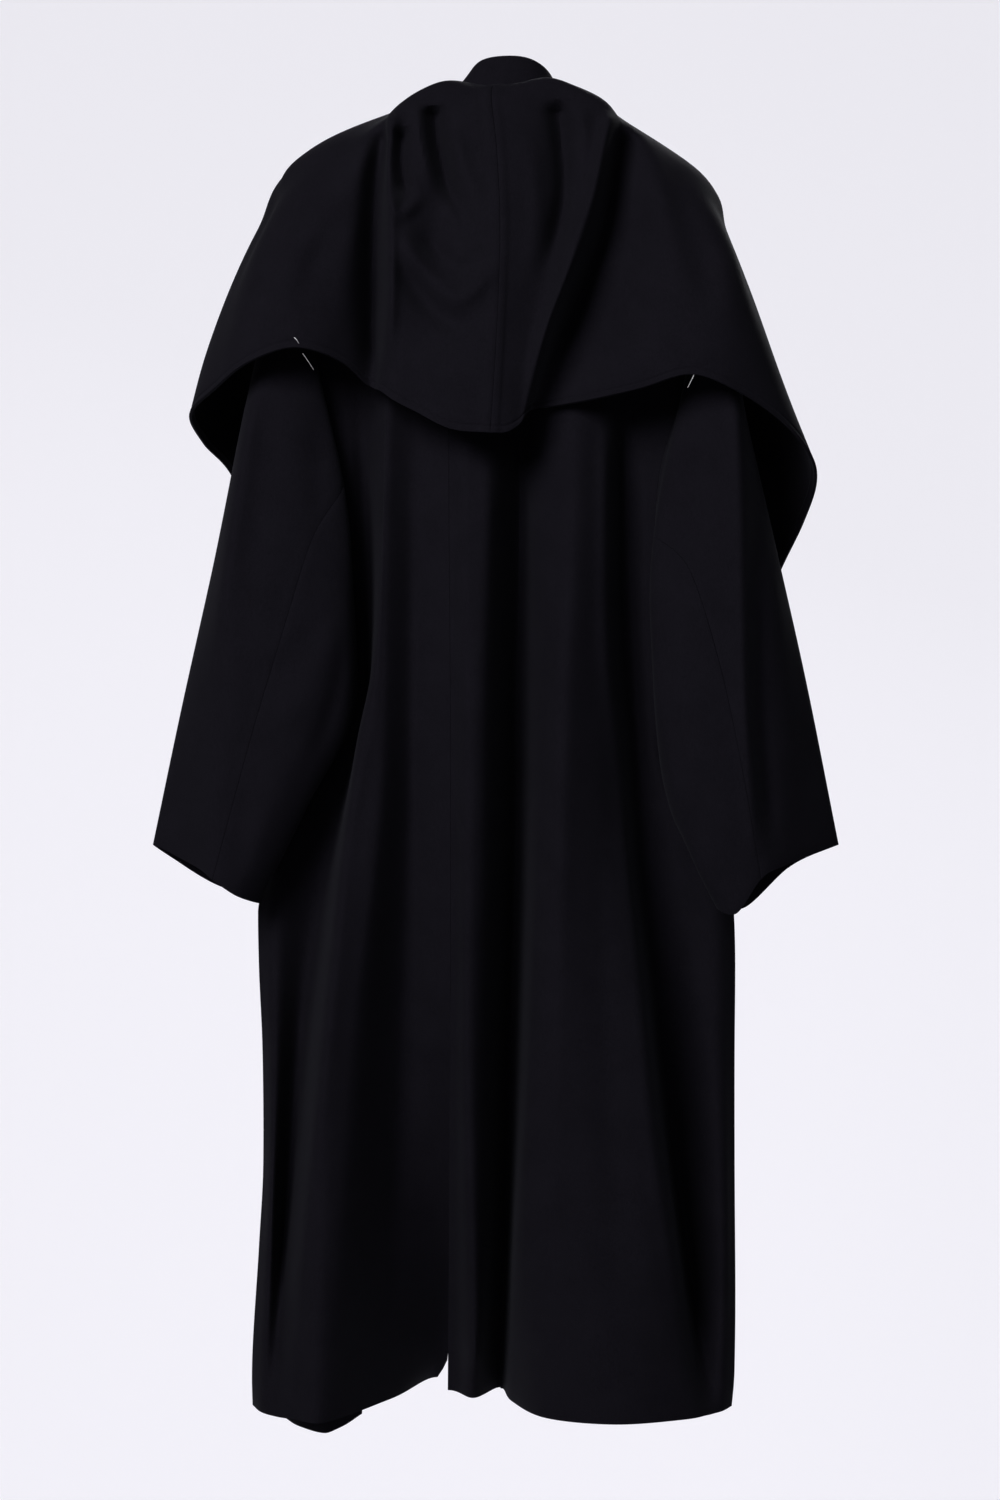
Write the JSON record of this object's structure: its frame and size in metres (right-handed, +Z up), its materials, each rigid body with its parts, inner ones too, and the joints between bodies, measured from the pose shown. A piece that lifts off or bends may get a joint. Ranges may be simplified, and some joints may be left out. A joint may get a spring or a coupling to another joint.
{
  "type": "scarf coat",
  "caption": "Long loose wool coat, open in front, with wide two-piece sleeves, a stand collar, a back vent and a broad scarf draped from the neck over both shoulders.",
  "frame": {"origin": "inside the back of the neck, where the coat is held up, just in front of the collar's foot", "axes": "+Z up, the coat's back faces -Y and its open front +Y, +X to the right of someone who looks at the back"},
  "size_m": [0.6551, 0.2939, 1.3493],
  "materials": {
    "wool": "matt, napped double-faced wool, nearly black with a trace of navy"
  },
  "bodies": {
    "root": {"back_left": "wool", "back_right": "wool", "front_left": "wool", "front_right": "wool", "collar": "wool", "scarf_left": "wool", "scarf_right": "wool", "sleeve_left_upper": "wool", "sleeve_left_under": "wool", "sleeve_right_upper": "wool", "sleeve_right_under": "wool"}
  },
  "joints": []
}
